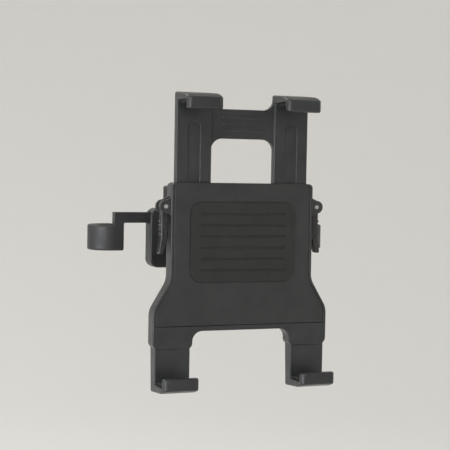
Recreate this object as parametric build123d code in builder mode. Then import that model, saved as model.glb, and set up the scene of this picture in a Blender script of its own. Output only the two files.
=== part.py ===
from build123d import *
import math
import os

os.makedirs("parts", exist_ok=True)

# Headrest tablet mount, in millimetres.
# The origin is the middle of the bed that the tablet's back rests on.
# +X is to the right as seen from the front, +Y goes back to the seat, +Z is up.

# Tablet that the claws stand open for
tablet_height = 186.0
slot_depth = 13.0
bezel_grip = 4.5

# Claws, all four alike
claw_width = 25.0
upper_claw_pitch = 71.0
lower_claw_pitch = 99.0
shelf_thickness = 5.9
lip_thickness = 4.6
claw_draft_drop = 1.7
claw_slope_run = 7.6
claw_slope_drop = 2.8
claw_crown_radius = 22.0
claw_back_radius = 1.2
claw_corner_radius = 3.2
claw_rim_round = 1.4
claw_inner_round = 0.8
shelf_root_radius = 1.5
lip_root_radius = 1.0

# Rubber in the claws and on the bed
shelf_pad_thickness = 2.0
lip_pad_thickness = 1.5
pad_side_margin = 2.3
pad_corner_radius = 1.3
pad_groove_depth = 0.6
pad_groove_width = 1.4
pad_groove_pitch = 3.6
pad_groove_count = 3
bed_pad_width = 76.0
bed_pad_height = 54.0
bed_pad_thickness = 1.5
bed_pad_radius = 8.0
bed_groove_margin = 7.0
bed_groove_pitch = 7.6
bed_groove_width = 1.6
bed_groove_depth = 0.5
bed_groove_count = 6

# Cradle housing and its cover
cover_setback = 0.7
cover_thickness = 2.5
cover_rim = 1.8
cover_edge_chamfer = 0.5
side_wall = 3.3
back_wall = 3.0
bottom_wall = 4.8
stub_wall = 1.6
stub_length = 12.0
flare_height = 20.0
flare_rise = 14.0
flare_radius = 14.0
housing_top_radius = 3.0
stub_outer_radius = 5.0
stub_inner_radius = 4.0
crotch_radius = 7.0
housing_back_round = 2.4
housing_front_round = 0.7
guide_rib = 1.6
arm_setback = 0.5
arm_back_setback = 0.8
arm_back_taper = 2.4
arm_web = 3.2
arm_core_margin = 3.4
arm_core_radius = 2.0
arm_rib = 2.0
fit_play = 0.1

# Slider with the two upper claws
slide_in = 50.0
slide_out = 10.0
slider_top_gap = 5.0
leg_hold = 34.5
leg_foot_gap = 0.7
leg_thickness = 6.0
leg_face_play = 0.3
leg_side_play = 0.4
leg_groove_width = 9.0
leg_groove_depth = 0.8
leg_groove_end = 7.0
bridge_thickness = 3.2
bridge_height = 20.0
bridge_drop = 5.0
bridge_corner_radius = 8.0
bridge_overlap = 1.5
grip_rib_width = 30.0
grip_rib_thickness = 1.6
grip_rib_height = 0.9
grip_rib_pitch = 4.4
grip_rib_count = 3

# Flip levers that lock the slider
lever_drop = 16.0
lever_reach = 3.6
lever_length = 32.0
lever_grip_width = 4.6
lever_tip_width = 3.2
lever_tip_curl = 3.0
lever_thickness = 5.2
lever_play = 0.3
lever_edge_chamfer = 0.4
lever_rib_radius = 0.7
lever_rib_pitch = 2.8
lever_rib_count = 4
lever_rib_start = 3.0
cam_radius = 4.1
cam_offset = 0.5
cam_gap = 0.15
lever_ear_radius = 4.4
lever_ear_root = 7.0
lever_ear_thickness = 2.3
lever_pin_diameter = 3.0
lever_pin_play = 0.08
shoe_length = 12.0
shoe_width = 4.0
shoe_gap = 0.15

# Cover screws
cover_screw_head = 5.5
cover_screw_head_height = 1.8
cover_boss_diameter = 6.4
cover_pilot_diameter = 2.5
cover_screw_hole = 3.4
cover_screw_counterbore = 6.0
upper_screw_x = 11.0
upper_screw_z = 10.0
lower_screw_x = 14.0
lower_screw_rise = 8.0

# Turntable between cradle and tilt bracket
bolt_diameter = 6.0
bolt_play = 0.1
hex_flats = 10.0
hex_play = 0.1
bolt_head_height = 4.0
nut_height = 5.0
bolt_end = 0.7
hex_socket_wall = 2.5
hex_socket_height = 3.0
track_outer_radius = 23.0
track_inner_radius = 19.0
track_height = 1.2
turn_gap = 0.05
friction_disc_thickness = 1.0
turn_disc_thickness = 5.0
turn_disc_round = 1.2
pivot_washer_radius = 6.6
pivot_washer_thickness = 1.2

# Tilt hinge
barrel_radius = 8.5
barrel_half_length = 11.0
barrel_gap = 0.8
cheek_thickness = 3.8
cheek_root_half_height = 13.0
hinge_washer_thickness = 1.0
hinge_washer_radius = 7.5
hinge_side_gap = 0.05
ear_thickness = 6.0
ear_radius = 9.0
ear_root_half_height = 13.0
hinge_to_base = 15.5
bolt_head_sink = 2.5
tilt_knob_radius = 12.5
tilt_knob_gap = 0.3
tilt_knob_neck_radius = 8.6
tilt_knob_neck = 3.0
tilt_knob_head = 12.0
tilt_knob_lobes = 6
knob_round = 1.6
knob_recess_depth = 0.9

# Post clamp base
base_half_length = 49.5
base_corner_radius = 6.0
base_plate = 3.0
base_wall = 2.7
base_back_wall = 3.0
base_edge_round = 1.2
arm_thickness = 6.0
arm_face_play = 0.3
arm_edge_play = 0.3
base_screw_inner = 22.0
base_screw_inset = 7.5
base_screw_head = 5.5
base_screw_head_height = 1.8
base_screw_counterbore = 6.0
base_screw_hole = 3.4
base_boss_diameter = 7.0
base_pilot_diameter = 2.5

# Rack arms and pinion
gear_module = 1.5
pinion_teeth = 12
pressure_angle = 25.0
tooth_addendum = 1.125
tooth_dedendum = 1.5
tooth_backlash = 0.3
rack_teeth = 10
rack_bar_height = 7.5
rack_bar_spare = 7.0
pinion_axle_diameter = 5.0
pinion_play = 0.1
pinion_face_play = 0.1

# Post hooks
post_diameter = 14.0
hook_plate_width = 7.2
hook_travel_in = 17.0
hook_travel_out = 20.0
hook_stop_gap = 1.3
hook_liner_thickness = 2.0
hook_liner_play = 0.05
hook_thickness = 6.0
hook_height = 18.0
hook_finger = 6.0
hook_finger_round = 2.8
hook_edge_round = 1.4
hook_neck_radius = 1.0
hook_liner_flank = 5.0

# Screw that locks the arms
arm_lock_x = -28.0
arm_lock_diameter = 4.0
arm_lock_play = 0.1
arm_lock_gap = 0.15
arm_lock_boss_radius = 4.0
arm_lock_boss_height = 4.5
arm_lock_knob_gap = 0.5
arm_lock_knob_radius = 10.0
arm_lock_knob_height = 11.0
arm_lock_knob_lobes = 8
arm_lock_sunk = 8.0

# Heights and depths that follow from the sizes above
half_slot = tablet_height / 2
shelf_inner = half_slot + shelf_pad_thickness
claw_end = shelf_inner + shelf_thickness
lip_inner = -slot_depth - lip_pad_thickness
lip_front = lip_inner - lip_thickness
lip_tip = half_slot - bezel_grip
crown_height = claw_end - claw_draft_drop
lip_top = crown_height - claw_slope_drop

cover_front = cover_setback
cover_back = cover_front + cover_thickness
leg_front = cover_back + leg_face_play
leg_back = leg_front + leg_thickness
cavity_back = leg_back + leg_face_play
housing_back = cavity_back + back_wall

housing_top = shelf_inner - slide_in - slider_top_gap
leg_foot = housing_top - leg_hold - slide_out
cavity_bottom = leg_foot - slide_in - leg_foot_gap
housing_bottom = cavity_bottom - bottom_wall
stub_bottom = housing_bottom - stub_length
cover_bottom = cavity_bottom - (side_wall - cover_rim)
arm_root = housing_bottom - stub_length / 4

leg_outer = upper_claw_pitch / 2 + claw_width / 2
leg_inner = upper_claw_pitch / 2 - claw_width / 2
channel_half = leg_outer + leg_side_play
housing_half = channel_half + side_wall
arm_outer = lower_claw_pitch / 2 + claw_width / 2
arm_inner = lower_claw_pitch / 2 - claw_width / 2
stub_outer = arm_outer + stub_wall
stub_inner = arm_inner - stub_wall

lever_x = housing_half + lever_reach
lever_height = housing_top - lever_drop
lever_front = (leg_front + leg_back - lever_thickness) / 2
lever_back = lever_front + lever_thickness

track_back = housing_back + track_height
friction_disc_front = track_back + turn_gap
turn_disc_front = friction_disc_front + friction_disc_thickness
turn_disc_back = turn_disc_front + turn_disc_thickness
turn_disc_radius = track_outer_radius
pivot_washer_front = turn_disc_back + turn_gap
pivot_nut_front = pivot_washer_front + pivot_washer_thickness
pivot_bolt_end = pivot_nut_front + nut_height + bolt_end
hinge_depth = pivot_bolt_end + barrel_gap + barrel_radius

ear_inner = barrel_half_length + hinge_washer_thickness + 2 * hinge_side_gap
ear_outer = ear_inner + ear_thickness
base_front_depth = hinge_depth + hinge_to_base
base_joint_depth = base_front_depth + base_plate
arm_front = base_joint_depth + arm_face_play
arm_back = arm_front + arm_thickness
base_cavity_back = arm_back + arm_face_play
base_back_depth = base_cavity_back + base_back_wall

pitch_radius = gear_module * pinion_teeth / 2
rack_pitch = math.pi * gear_module
rack_root = pitch_radius + tooth_dedendum
rack_tip = pitch_radius - tooth_addendum
bar_outer = rack_root + rack_bar_height
rack_bar_inner_end = hook_travel_out + rack_bar_spare
base_half_height = bar_outer + arm_edge_play + base_wall
base_screw_outer = base_half_length - base_screw_inset
base_screw_xs = (-base_screw_outer, -base_screw_inner, base_screw_inner, base_screw_outer)

hook_seat_radius = post_diameter / 2 + hook_liner_thickness
post_depth = arm_back + hook_seat_radius
hook_outer_radius = hook_seat_radius + hook_thickness
hook_plate_inner = base_half_length + hook_travel_in + hook_stop_gap
post_half_spacing = hook_plate_inner + hook_plate_width


def front_plane(depth):
    """Sketch plane seen from the front, at the given depth behind the bed."""
    return Plane.XZ.offset(-depth)


def side_plane(x):
    """Sketch plane seen from the side, with depth to the right and height up."""
    return Plane.YZ.offset(x)


def claw_strip(front, back_root, back_end, root, up):
    """One arm with its claw: a flat strip that turns forward and hooks over the tablet.

    up is 1 for an upper claw and -1 for a lower one.
    """
    path = [
        (front, root),
        (front, up * shelf_inner),
        (lip_inner, up * shelf_inner),
        (lip_inner, up * lip_tip),
        (lip_front, up * lip_tip),
        (lip_front, up * lip_top),
        (lip_front + claw_slope_run, up * crown_height),
        (back_end, up * claw_end),
        (back_root, root),
    ]
    radii = [shelf_root_radius, lip_root_radius, 0, 0, 0, claw_crown_radius, claw_back_radius]
    ridges = (
        (lip_front, lip_top, claw_rim_round),
        (lip_front, lip_tip, claw_rim_round),
        (lip_inner, lip_tip, claw_inner_round),
    )
    with BuildPart() as strip:
        with BuildSketch(Plane.YZ):
            with BuildLine():
                outline = FilletPolyline(*path, radius=radii)
                Line(outline @ 1, outline @ 0)
            make_face()
        extrude(amount=claw_width / 2, both=True)
        # Rounded upright corners of the lip
        with BuildSketch(Plane.XY) as plan:
            with Locations((0, lip_front)):
                Rectangle(claw_width, 2 * (back_root - lip_front), align=(Align.CENTER, Align.MIN))
            fillet(plan.vertices().group_by(Axis.Y)[0], radius=claw_corner_radius)
        extrude(amount=2 * claw_end, both=True, mode=Mode.INTERSECT)
        # Each ridge runs on round the claw's sides
        for depth, height, radius in ridges:
            ridge = strip.edges().filter_by(Axis.X).filter_by(
                lambda edge: abs(edge.center().Y - depth) < fit_play
                and abs(edge.center().Z - up * height) < fit_play
            )
            fillet(ridge, radius=radius)
    return strip.part


def claw_pad(up, back):
    """Rubber angle that lines the shelf and the lip of one claw."""
    shelf_face = up * half_slot
    shelf_seat = up * shelf_inner
    tip = up * (lip_tip + claw_rim_round)
    path = [
        (back, shelf_seat),
        (lip_inner, shelf_seat),
        (lip_inner, tip),
        (lip_inner + lip_pad_thickness, tip),
        (lip_inner + lip_pad_thickness, shelf_face),
        (back, shelf_face),
    ]
    groove_height = shelf_face + up * pad_groove_depth / 2
    with BuildPart() as pad:
        with BuildSketch(Plane.YZ):
            with BuildLine():
                FilletPolyline(*path, radius=[0, pad_corner_radius, 0, 0, 0, 0], close=True)
            make_face()
        extrude(amount=claw_width / 2 - pad_side_margin, both=True)
        with BuildSketch(Plane.YZ):
            with Locations((-slot_depth / 2, groove_height)):
                with GridLocations(pad_groove_pitch, 1, pad_groove_count, 1):
                    Rectangle(pad_groove_width, pad_groove_depth)
        extrude(amount=claw_width / 2, both=True, mode=Mode.SUBTRACT)
    return pad.part


def lobed_outline(radius, lobes):
    """Outline of a hand knob with shallow finger hollows round its rim."""
    hollow_radius = math.pi * radius / lobes * 0.8
    with BuildSketch() as knob:
        Circle(radius)
        with PolarLocations(radius + hollow_radius * 0.7, lobes):
            Circle(hollow_radius, mode=Mode.SUBTRACT)
        fillet(knob.vertices(), radius=radius / 12)
    return knob.sketch


def involute(angle):
    """Involute function of a pressure angle in radians."""
    return math.tan(angle) - angle


def tooth_half_angle(radius):
    """Half the angle that a pinion tooth fills at the given radius."""
    at_pitch = (rack_pitch - tooth_backlash) / (4 * pitch_radius)
    reference = math.radians(pressure_angle)
    local = math.acos(pitch_radius * math.cos(reference) / radius)
    return at_pitch + involute(reference) - involute(local)


# Outline of the cradle housing, straight beside the slider and flaring to the lower arms
flare_bottom = housing_bottom + flare_rise
flare_top = flare_bottom + flare_height
right_outline = [
    (housing_half, housing_top),
    (housing_half, flare_top),
    (stub_outer, flare_bottom),
    (stub_outer, stub_bottom),
    (stub_inner, stub_bottom),
    (stub_inner, housing_bottom),
]
right_radii = [
    housing_top_radius,
    flare_radius,
    flare_radius,
    stub_outer_radius,
    stub_inner_radius,
    crotch_radius,
]
left_outline = [(-x, z) for x, z in reversed(right_outline)]
with BuildSketch() as housing_shape:
    with BuildLine():
        FilletPolyline(
            *right_outline, *left_outline, radius=right_radii + right_radii[::-1], close=True
        )
    make_face()

# Places of the cover screws, in the strip between the legs: two by the turntable, two at the bottom
lower_screw_z = cavity_bottom + lower_screw_rise
cover_screw_places = [
    (-upper_screw_x, upper_screw_z),
    (upper_screw_x, upper_screw_z),
    (-lower_screw_x, lower_screw_z),
    (lower_screw_x, lower_screw_z),
]


def clipped_housing_shape(inset, bottom, top_half_width):
    """Housing outline drawn in by inset, cut level at the bottom and open at the top."""
    with BuildSketch() as shape:
        add(housing_shape.sketch)
        offset(amount=-inset)
        with Locations((0, bottom)):
            Rectangle(
                4 * stub_outer,
                4 * stub_length,
                align=(Align.CENTER, Align.MAX),
                mode=Mode.SUBTRACT,
            )
        with Locations((0, housing_top)):
            Rectangle(2 * top_half_width, 2 * inset, align=(Align.CENTER, Align.MAX))
    return shape.sketch


lower_arm = claw_strip(
    cover_front + arm_setback,
    housing_back - arm_back_setback,
    housing_back - arm_back_setback - arm_back_taper,
    arm_root,
    -1,
)
cavity_shape = clipped_housing_shape(side_wall, cavity_bottom, channel_half)
cover_seat_shape = clipped_housing_shape(cover_rim, cover_bottom, channel_half)

# Cradle housing: shell, lower arms and lower claws in one moulding
with BuildPart() as cradle_housing:
    with BuildSketch(front_plane(cover_front)):
        add(housing_shape.sketch)
    extrude(amount=cover_front - housing_back)
    fillet(cradle_housing.faces().sort_by(Axis.Y)[-1].edges(), radius=housing_back_round)
    fillet(cradle_housing.faces().sort_by(Axis.Y)[0].edges(), radius=housing_front_round)
    # Two arms with their claws
    with Locations((-lower_claw_pitch / 2, 0, 0), (lower_claw_pitch / 2, 0, 0)):
        add(lower_arm)
    # Seat of the cover, then the channel behind it
    with BuildSketch(front_plane(cover_front)):
        add(cover_seat_shape)
    extrude(amount=cover_front - cover_back, mode=Mode.SUBTRACT)
    with BuildSketch(front_plane(cover_front)):
        add(cavity_shape)
        with Locations((0, housing_top)):
            Rectangle(2 * channel_half, 2 * housing_top_radius)
    extrude(amount=cover_front - cavity_back, mode=Mode.SUBTRACT)
    # Ribs that guide the legs of the slider
    with BuildSketch(front_plane(cover_back)):
        outer_rib_height = flare_top - cavity_bottom
        with Locations(
            (-channel_half - guide_rib / 2, cavity_bottom), (channel_half + guide_rib / 2, cavity_bottom)
        ):
            Rectangle(guide_rib, outer_rib_height, align=(Align.CENTER, Align.MIN))
        inner_rib_x = leg_inner - leg_side_play - guide_rib / 2
        inner_rib_height = upper_screw_z - cavity_bottom
        with Locations((-inner_rib_x, cavity_bottom), (inner_rib_x, cavity_bottom)):
            Rectangle(guide_rib, inner_rib_height, align=(Align.CENTER, Align.MIN))
    extrude(amount=cover_back - cavity_back)
    # Socket that keeps the head of the pivot bolt from turning
    with BuildSketch(front_plane(cavity_back)):
        Circle(hex_flats / math.sqrt(3) + hex_socket_wall)
    extrude(amount=hex_socket_height)
    with BuildSketch(front_plane(cavity_back)):
        RegularPolygon(hex_flats / 2 + hex_play, 6, major_radius=False)
    extrude(amount=hex_socket_height, mode=Mode.SUBTRACT)
    # Raised track of the turntable
    with BuildSketch(front_plane(housing_back)):
        Circle(track_outer_radius)
        Circle(track_inner_radius, mode=Mode.SUBTRACT)
    extrude(amount=-track_height)
    with BuildSketch(front_plane(cavity_back)):
        Circle(bolt_diameter / 2 + bolt_play)
    extrude(amount=-back_wall, mode=Mode.SUBTRACT)
    # Holes for the cover screws, sunk from the back
    with BuildSketch(front_plane(cavity_back)):
        with Locations(*cover_screw_places):
            Circle(cover_screw_hole / 2)
    extrude(amount=-back_wall, mode=Mode.SUBTRACT)
    with BuildSketch(front_plane(housing_back)):
        with Locations(*cover_screw_places):
            Circle(cover_screw_counterbore / 2)
    extrude(amount=cover_screw_head_height, mode=Mode.SUBTRACT)
    # Hollows in the backs of the arms, each with one cross rib
    core_top = housing_bottom
    core_bottom = -shelf_inner + arm_core_margin
    for side in (-1, 1):
        with BuildSketch(front_plane(housing_back)):
            with Locations((side * lower_claw_pitch / 2, (core_top + core_bottom) / 2)):
                RectangleRounded(
                    claw_width - 2 * arm_core_margin, core_top - core_bottom, arm_core_radius
                )
                Rectangle(claw_width, arm_rib, mode=Mode.SUBTRACT)
        extrude(
            amount=housing_back - cover_front - arm_setback - arm_web, mode=Mode.SUBTRACT
        )
    # Windows for the brake shoes, and the ears that carry the levers
    ear_root_x = housing_half - cover_rim
    for side in (-1, 1):
        with BuildSketch(side_plane(side * channel_half)):
            with Locations(((leg_front + leg_back) / 2, lever_height)):
                Rectangle(lever_thickness + 2 * lever_play, shoe_length + 2 * lever_play)
        extrude(amount=side * 2 * side_wall, mode=Mode.SUBTRACT)
        for ear_start in (lever_front - lever_play - lever_ear_thickness, lever_back + lever_play):
            with BuildSketch(front_plane(ear_start)):
                with Locations((side * lever_x, lever_height)):
                    Circle(lever_ear_radius)
                with BuildLine():
                    Polyline(
                        (side * ear_root_x, lever_height - lever_ear_root),
                        (side * lever_x, lever_height - lever_ear_radius),
                        (side * lever_x, lever_height + lever_ear_radius),
                        (side * ear_root_x, lever_height + lever_ear_root),
                        close=True,
                    )
                make_face()
                with Locations((side * lever_x, lever_height)):
                    Circle(lever_pin_diameter / 2, mode=Mode.SUBTRACT)
            extrude(amount=-lever_ear_thickness)
cradle_housing.part.label = "cradle_housing"
export_step(cradle_housing.part, "parts/cradle_housing.step")

# Cover with the recess for the bed pad and four screw bosses behind
cover_shape = clipped_housing_shape(
    cover_rim + fit_play, cover_bottom + fit_play, channel_half - fit_play
)
with BuildPart() as cradle_cover:
    with BuildSketch(front_plane(cover_front)):
        add(cover_shape)
    extrude(amount=-cover_thickness)
    chamfer(cradle_cover.faces().sort_by(Axis.Y)[0].edges(), length=cover_edge_chamfer)
    with BuildSketch(front_plane(cover_front)):
        RectangleRounded(
            bed_pad_width + 2 * fit_play, bed_pad_height + 2 * fit_play, bed_pad_radius + fit_play
        )
    extrude(amount=cover_front - bed_pad_thickness, mode=Mode.SUBTRACT)
    with BuildSketch(front_plane(cover_back)):
        with Locations(*cover_screw_places):
            Circle(cover_boss_diameter / 2)
            Circle(cover_pilot_diameter / 2, mode=Mode.SUBTRACT)
    extrude(amount=cover_back - cavity_back + fit_play)
cradle_cover.part.label = "cradle_cover"
export_step(cradle_cover.part, "parts/cradle_cover.step")

# Rubber pad on the bed, with shallow grooves across it
with BuildPart() as bed_pad:
    with BuildSketch(front_plane(0)):
        RectangleRounded(bed_pad_width, bed_pad_height, bed_pad_radius)
    extrude(amount=-bed_pad_thickness)
    with BuildSketch(front_plane(0)):
        with GridLocations(1, bed_groove_pitch, 1, bed_groove_count):
            SlotOverall(bed_pad_width - 2 * bed_groove_margin, bed_groove_width)
    extrude(amount=-bed_groove_depth, mode=Mode.SUBTRACT)
bed_pad.part.label = "bed_pad"
export_step(bed_pad.part, "parts/bed_pad.step")

# Four cover screws
with BuildPart() as cover_screws:
    with BuildSketch(front_plane(housing_back)):
        with Locations(*cover_screw_places):
            Circle(cover_screw_head / 2)
    extrude(amount=cover_screw_head_height)
    with BuildSketch(front_plane(housing_back - cover_screw_head_height)):
        with Locations(*cover_screw_places):
            Circle(cover_pilot_diameter / 2)
    extrude(amount=cavity_back - cover_back + fit_play)
cover_screws.part.label = "cover_screws"
export_step(cover_screws.part, "parts/cover_screws.step")

# Slider: two legs with the upper claws, joined by a bridge with finger ribs
upper_leg = claw_strip(leg_front, leg_back, leg_back, leg_foot, 1)
leg_middle = (leg_front + leg_back) / 2
bridge_top = shelf_inner - bridge_drop
bridge_middle = bridge_top - bridge_height / 2
window_width = 2 * leg_inner
with BuildPart() as slider_frame:
    with Locations((-upper_claw_pitch / 2, 0, 0), (upper_claw_pitch / 2, 0, 0)):
        add(upper_leg)
    # Shallow groove down the front of each leg
    groove_top = lip_tip - leg_groove_end
    groove_bottom = leg_foot + leg_groove_end
    with BuildSketch(front_plane(leg_front)):
        with Locations((0, (groove_top + groove_bottom) / 2)):
            with GridLocations(upper_claw_pitch, 1, 2, 1):
                SlotOverall(groove_top - groove_bottom, leg_groove_width, rotation=90)
    extrude(amount=-leg_groove_depth, mode=Mode.SUBTRACT)
    with BuildSketch(front_plane(leg_middle - bridge_thickness / 2)):
        with Locations((0, bridge_middle)):
            Rectangle(window_width + 2 * bridge_overlap, bridge_height + 2 * bridge_corner_radius)
        for end in (-1, 1):
            with Locations((0, bridge_middle + end * bridge_height)):
                RectangleRounded(
                    window_width, bridge_height, bridge_corner_radius, mode=Mode.SUBTRACT
                )
    extrude(amount=-bridge_thickness)
    with BuildSketch(front_plane(leg_middle - bridge_thickness / 2)):
        with Locations((0, bridge_middle)):
            with GridLocations(1, grip_rib_pitch, 1, grip_rib_count):
                SlotOverall(grip_rib_width, grip_rib_thickness)
    extrude(amount=grip_rib_height)
slider_frame.part.label = "slider_frame"
export_step(slider_frame.part, "parts/slider_frame.step")

# Rubber liners of the four claws
upper_pad = claw_pad(1, leg_front - shelf_root_radius)
lower_pad = claw_pad(-1, cover_front + arm_setback - shelf_root_radius)
claw_rows = (("upper", upper_pad, upper_claw_pitch), ("lower", lower_pad, lower_claw_pitch))
for level, pad_shape, pitch in claw_rows:
    for side, hand in ((-1, "left"), (1, "right")):
        with BuildPart() as claw_liner:
            with Locations((side * pitch / 2, 0, 0)):
                add(pad_shape)
        claw_liner.part.label = f"{level}_claw_pad_{hand}"
        export_step(claw_liner.part, f"parts/{level}_claw_pad_{hand}.step")

# Levers, pins and brake shoes, one set on each side of the housing
for side, hand in ((-1, "left"), (1, "right")):
    with BuildPart() as lock_lever:
        with BuildSketch(front_plane(lever_front)):
            with Locations((side * (lever_x - cam_offset), lever_height)):
                Circle(cam_radius)
            tip = lever_height - lever_length
            bend = tip + lever_length / 3
            inner = lever_x - lever_grip_width / 2
            with BuildLine():
                handle = FilletPolyline(
                    (side * inner, lever_height),
                    (side * inner, bend),
                    (side * (inner + lever_tip_curl), tip),
                    (side * (inner + lever_tip_curl + lever_tip_width), tip),
                    (side * (inner + lever_grip_width), bend),
                    (side * (inner + lever_grip_width), lever_height),
                    radius=[lever_length / 4, 1, 1, lever_length / 4],
                )
                Line(handle @ 1, handle @ 0)
            make_face()
            with Locations((side * lever_x, lever_height)):
                Circle(lever_pin_diameter / 2 + lever_pin_play, mode=Mode.SUBTRACT)
        extrude(amount=-lever_thickness)
        rims = lock_lever.edges().group_by(Axis.Y)
        chamfer(rims[0] + rims[-1], length=lever_edge_chamfer)
        # Finger ribs across the outer face
        ribs_middle = bend + lever_rib_start + lever_rib_pitch * (lever_rib_count - 1) / 2
        with BuildSketch(front_plane(lever_front + lever_edge_chamfer)):
            with Locations((side * (inner + lever_grip_width), ribs_middle)):
                with GridLocations(1, lever_rib_pitch, 1, lever_rib_count):
                    Circle(lever_rib_radius)
        extrude(amount=2 * lever_edge_chamfer - lever_thickness)
    lock_lever.part.label = f"lock_lever_{hand}"
    export_step(lock_lever.part, f"parts/lock_lever_{hand}.step")

    pin_front = lever_front - lever_play - lever_ear_thickness
    pin_length = lever_thickness + 2 * lever_play + 2 * lever_ear_thickness
    with BuildPart() as lever_pin:
        with BuildSketch(front_plane(pin_front)):
            with Locations((side * lever_x, lever_height)):
                Circle(lever_pin_diameter / 2)
        extrude(amount=-pin_length)
        chamfer(lever_pin.edges(), length=lever_pin_diameter / 10)
    lever_pin.part.label = f"lever_pin_{hand}"
    export_step(lever_pin.part, f"parts/lever_pin_{hand}.step")

    shoe_inner = leg_outer + shoe_gap
    shoe_outer = lever_x - cam_offset - cam_radius - cam_gap
    with BuildPart() as brake_shoe:
        with BuildSketch(side_plane(side * shoe_inner)):
            with Locations((leg_middle, lever_height)):
                RectangleRounded(shoe_width, shoe_length, shoe_width / 5)
        extrude(amount=side * (shoe_outer - shoe_inner))
    brake_shoe.part.label = f"brake_shoe_{hand}"
    export_step(brake_shoe.part, f"parts/brake_shoe_{hand}.step")

# Pivot bolt with its washer and nut
with BuildPart() as pivot_bolt:
    with BuildSketch(front_plane(cavity_back)):
        RegularPolygon(hex_flats / 2, 6, major_radius=False)
    extrude(amount=bolt_head_height)
    with BuildSketch(front_plane(cavity_back)):
        Circle(bolt_diameter / 2)
    extrude(amount=cavity_back - pivot_bolt_end)
    chamfer(pivot_bolt.faces().sort_by(Axis.Y)[-1].edges(), length=bolt_end)
pivot_bolt.part.label = "pivot_bolt"
export_step(pivot_bolt.part, "parts/pivot_bolt.step")

with BuildPart() as pivot_washer:
    with BuildSketch(front_plane(pivot_washer_front)):
        Circle(pivot_washer_radius)
        Circle(bolt_diameter / 2 + bolt_play, mode=Mode.SUBTRACT)
    extrude(amount=-pivot_washer_thickness)
pivot_washer.part.label = "pivot_washer"
export_step(pivot_washer.part, "parts/pivot_washer.step")

with BuildPart() as pivot_nut:
    with BuildSketch(front_plane(pivot_nut_front)):
        RegularPolygon(hex_flats / 2, 6, major_radius=False)
        Circle(bolt_diameter / 2, mode=Mode.SUBTRACT)
    extrude(amount=-nut_height)
pivot_nut.part.label = "pivot_nut"
export_step(pivot_nut.part, "parts/pivot_nut.step")

# Friction disc of the turntable
with BuildPart() as friction_disc:
    with BuildSketch(front_plane(friction_disc_front)):
        Circle(track_outer_radius)
        Circle(track_inner_radius - friction_disc_thickness, mode=Mode.SUBTRACT)
    extrude(amount=-friction_disc_thickness)
friction_disc.part.label = "friction_disc"
export_step(friction_disc.part, "parts/friction_disc.step")

# Tilt bracket: turntable plate, two cheeks and the hinge barrel
with BuildPart() as tilt_bracket:
    with BuildSketch(front_plane(turn_disc_front)):
        Circle(turn_disc_radius)
    extrude(amount=-turn_disc_thickness)
    fillet(tilt_bracket.edges().group_by(Axis.Y)[-1], radius=turn_disc_round)
    cheek_inner = barrel_half_length - cheek_thickness
    for start in (-barrel_half_length, cheek_inner):
        with BuildSketch(side_plane(start)):
            with Locations((hinge_depth, 0)):
                Circle(barrel_radius)
            with BuildLine():
                Polyline(
                    (turn_disc_front + turn_disc_thickness / 2, -cheek_root_half_height),
                    (hinge_depth, -barrel_radius),
                    (hinge_depth, barrel_radius),
                    (turn_disc_front + turn_disc_thickness / 2, cheek_root_half_height),
                    close=True,
                )
            make_face()
        extrude(amount=cheek_thickness)
    with BuildSketch(side_plane(-barrel_half_length)):
        with Locations((hinge_depth, 0)):
            Circle(barrel_radius)
    extrude(amount=2 * barrel_half_length)
    with BuildSketch(side_plane(-barrel_half_length)):
        with Locations((hinge_depth, 0)):
            Circle(bolt_diameter / 2 + bolt_play)
    extrude(amount=2 * barrel_half_length, mode=Mode.SUBTRACT)
    with BuildSketch(front_plane(turn_disc_front)):
        Circle(bolt_diameter / 2 + bolt_play)
    extrude(amount=-turn_disc_thickness, mode=Mode.SUBTRACT)
tilt_bracket.part.label = "tilt_bracket"
export_step(tilt_bracket.part, "parts/tilt_bracket.step")

# Washers between the barrel and the ears
for side, hand in ((-1, "left"), (1, "right")):
    with BuildPart() as hinge_washer:
        with BuildSketch(side_plane(side * (barrel_half_length + hinge_side_gap))):
            with Locations((hinge_depth, 0)):
                Circle(hinge_washer_radius)
                Circle(bolt_diameter / 2 + bolt_play, mode=Mode.SUBTRACT)
        extrude(amount=side * hinge_washer_thickness)
    hinge_washer.part.label = f"hinge_washer_{hand}"
    export_step(hinge_washer.part, f"parts/hinge_washer_{hand}.step")

# Bolt of the tilt hinge, its head sunk in the left ear
head_seat = -ear_outer + bolt_head_sink
knob_start = ear_outer + tilt_knob_gap
knob_head_start = knob_start + tilt_knob_neck
knob_end = knob_head_start + tilt_knob_head
tilt_bolt_end = knob_end - 2 * tilt_knob_neck
with BuildPart() as tilt_bolt:
    with BuildSketch(side_plane(head_seat)):
        with Locations((hinge_depth, 0)):
            RegularPolygon(hex_flats / 2, 6, major_radius=False)
    extrude(amount=-bolt_head_height)
    with BuildSketch(side_plane(head_seat)):
        with Locations((hinge_depth, 0)):
            Circle(bolt_diameter / 2)
    extrude(amount=tilt_bolt_end - head_seat)
tilt_bolt.part.label = "tilt_bolt"
export_step(tilt_bolt.part, "parts/tilt_bolt.step")

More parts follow.
